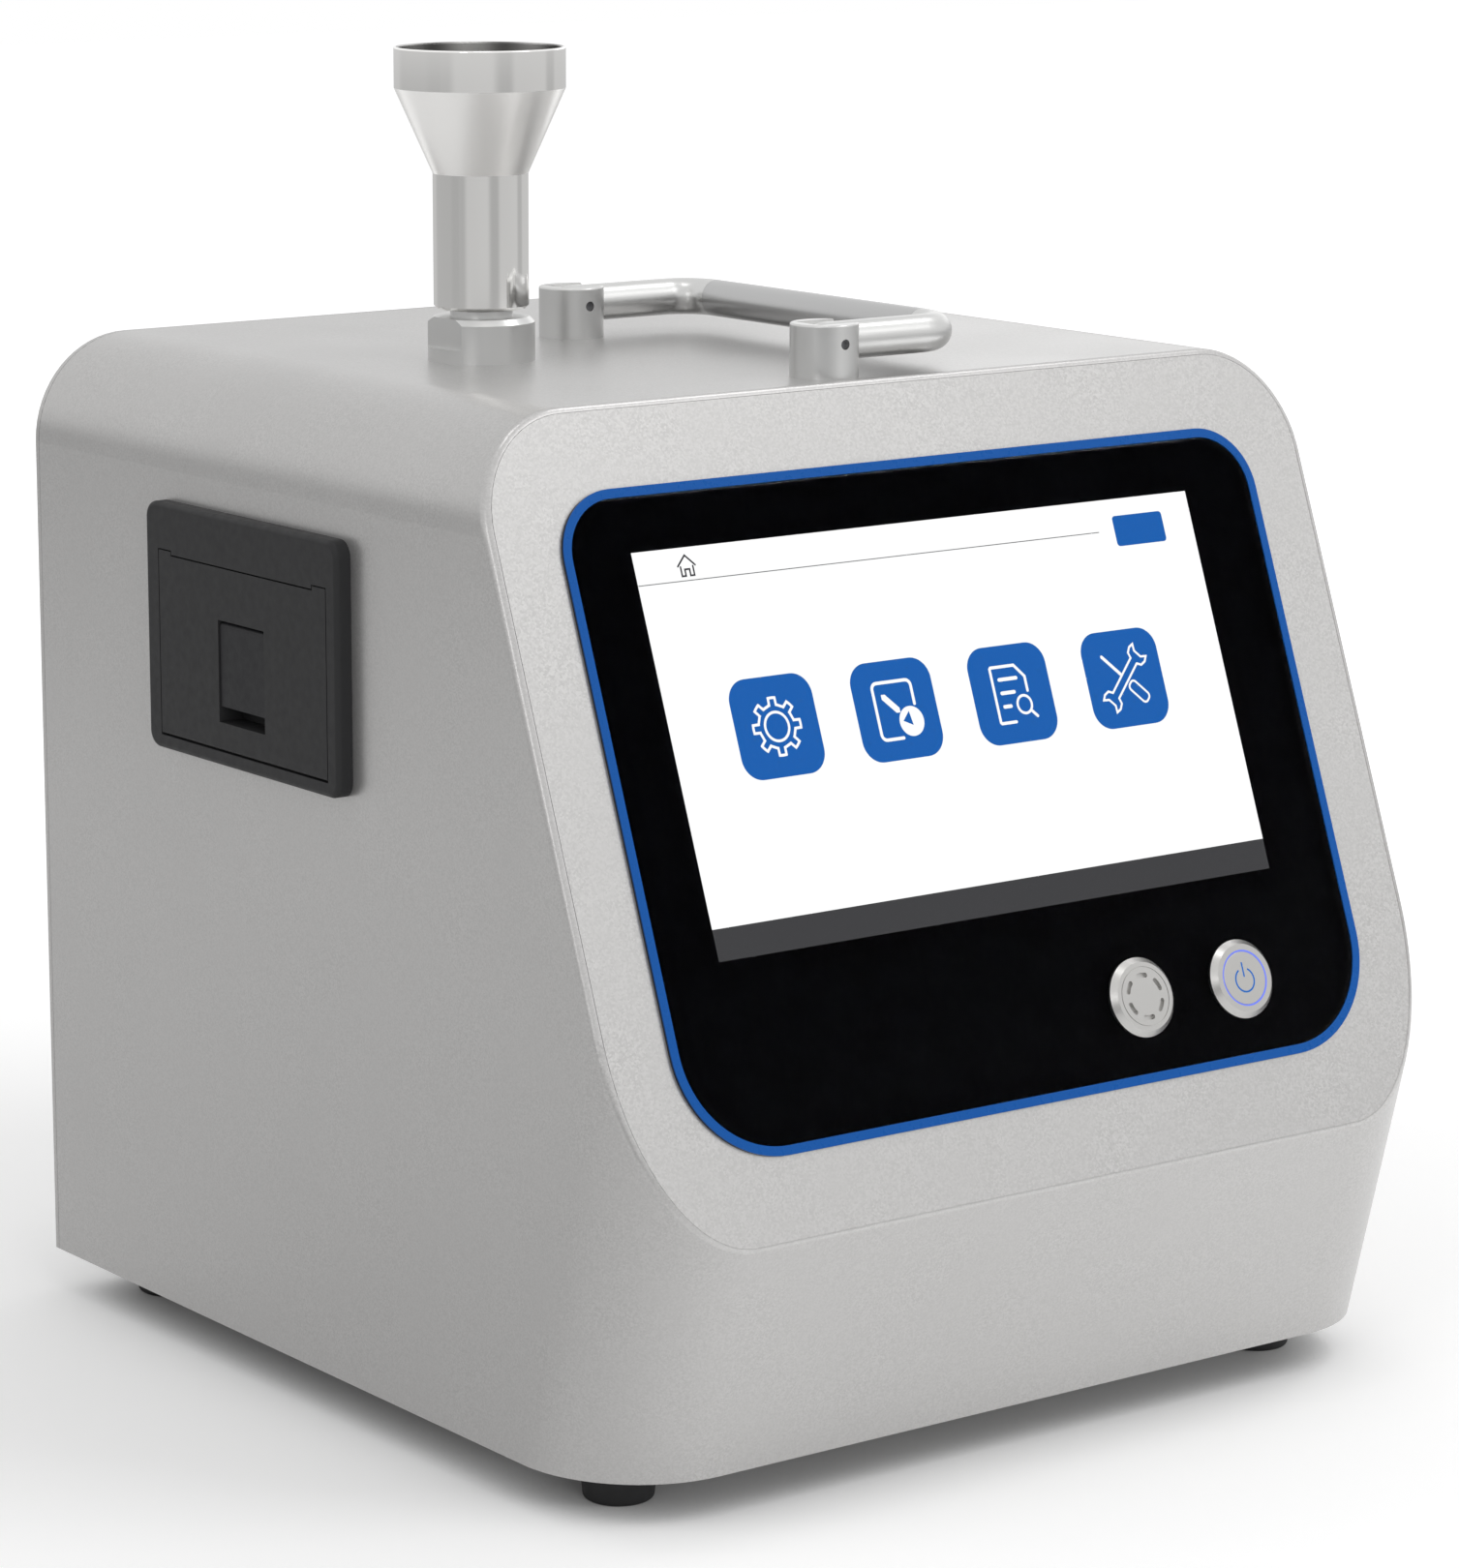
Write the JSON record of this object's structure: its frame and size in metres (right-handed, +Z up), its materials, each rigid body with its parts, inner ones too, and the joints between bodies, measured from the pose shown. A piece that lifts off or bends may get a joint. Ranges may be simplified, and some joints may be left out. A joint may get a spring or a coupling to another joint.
{
  "type": "airborne particle counter",
  "caption": "Portable airborne particle counter with sloping touch display, side label printer, folding handle and steel isokinetic inlet probe.",
  "frame": {"origin": "middle of the footprint on the surface it stands on", "axes": "+Z up along the inlet probe, -Y towards the user and the sloping display, -X towards the printer side"},
  "size_m": [0.244, 0.2572, 0.3174],
  "materials": {
    "case_paint": "fine silver-grey powder coat",
    "front_paint": "fine silver metallic coat",
    "ring_blue": "gloss blue",
    "cover_glass": "black-backed cover glass",
    "screen": "lit display",
    "black_plastic": "fine grain",
    "printer_black": "moulded grain",
    "steel_bright": "polished stainless",
    "steel_screw": "plated",
    "satin_aluminium": "bead-blasted satin",
    "grip_sleeve": "smooth satin",
    "power_light": "lit blue",
    "rubber": "matt",
    "paper": "thermal paper",
    "board_green": "solder mask",
    "brass": "turned",
    "machined_aluminium": "machined",
    "motor_steel": "plated can",
    "filter_white": "moulded",
    "battery_wrap": "shrink wrap",
    "strap_black": "black"
  },
  "bodies": {
    "case": {"base_plate": "case_paint", "base_screws": "steel_screw", "battery_pack": "battery_wrap", "battery_strap": "strap_black", "board_spacers": "brass", "buzzer": "steel_bright", "case_shell": "case_paint", "cover_glass": "cover_glass", "display_carrier": "black_plastic", "exhaust_cap": "satin_aluminium", "exhaust_filter": "filter_white", "fan_frame": "black_plastic", "fan_screws": "steel_screw", "foot_back_left": "rubber", "foot_back_right": "rubber", "foot_front_left": "rubber", "foot_front_right": "rubber", "foot_nuts": "steel_screw", "foot_screws": "steel_screw", "front_panel": "front_paint", "handle_pins": "steel_screw", "handle_post_front": "satin_aluminium", "handle_post_rear": "satin_aluminium", "inlet_fitting": "satin_aluminium", "inlet_hose": "rubber", "inlet_nut": "satin_aluminium", "inlet_probe": "steel_bright", "lan_socket": "steel_screw", "laser_module": "brass", "lcd_module": "screen", "light_detector": "machined_aluminium", "main_board": "board_green", "paper_roll": "paper", "post_screws": "steel_screw", "power_inlet": "black_plastic", "power_light_ring": "power_light", "power_supply": "machined_aluminium", "power_switch_body": "steel_bright", "print_head": "machined_aluminium", "printer_bezel": "printer_black", "printer_tub": "printer_black", "pump_body": "machined_aluminium", "pump_hose": "rubber", "pump_motor": "motor_steel", "pump_mounts": "rubber", "rear_panel": "case_paint", "rear_screws": "steel_screw", "sensor_block": "machined_aluminium", "switch_nuts": "steel_screw", "trim_ring": "ring_blue", "usb_socket": "steel_screw"},
    "handle": {"handle_bar": "satin_aluminium", "handle_grip": "grip_sleeve"},
    "power_button": {"power_button": "steel_bright"},
    "printer_door": {"printer_door": "printer_black", "latch_pin": "steel_screw"},
    "printer_latch": {"printer_latch": "printer_black"},
    "platen": {"platen_shaft": "steel_screw", "platen_roller": "rubber"},
    "fan_rotor": {"fan_rotor": "black_plastic"}
  },
  "joints": [
    {"name": "handle_fold", "type": "hinge", "parent": "case", "child": "handle", "pos_m": [-0.012, 0.0007, 0.252], "axis": [0, -1, 0], "range_deg": [0, 90]},
    {"name": "power_press", "type": "slide", "parent": "case", "child": "power_button", "axis": [0, 0.9345, -0.356], "range_m": [0, 0.0015], "stiffness_N_per_m": 600},
    {"name": "printer_door_hinge", "type": "hinge", "parent": "case", "child": "printer_door", "pos_m": [-0.1227, 0.0262, 0.1566], "axis": [0, -1, 0], "range_deg": [0, 80]},
    {"name": "printer_latch_pivot", "type": "hinge", "parent": "printer_door", "child": "printer_latch", "pos_m": [-0.1225, 0.0263, 0.1848], "axis": [0, 1, 0], "range_deg": [0, 40], "stiffness_Nm_per_rad": 0.02},
    {"name": "platen_spin", "type": "hinge", "parent": "printer_door", "child": "platen", "pos_m": [-0.1145, 0.0262, 0.1936], "axis": [0, 1, 0], "continuous": true},
    {"name": "fan_spin", "type": "hinge", "parent": "case", "child": "fan_rotor", "pos_m": [0.058, 0.12, 0.148], "axis": [0, 1, 0], "continuous": true}
  ]
}
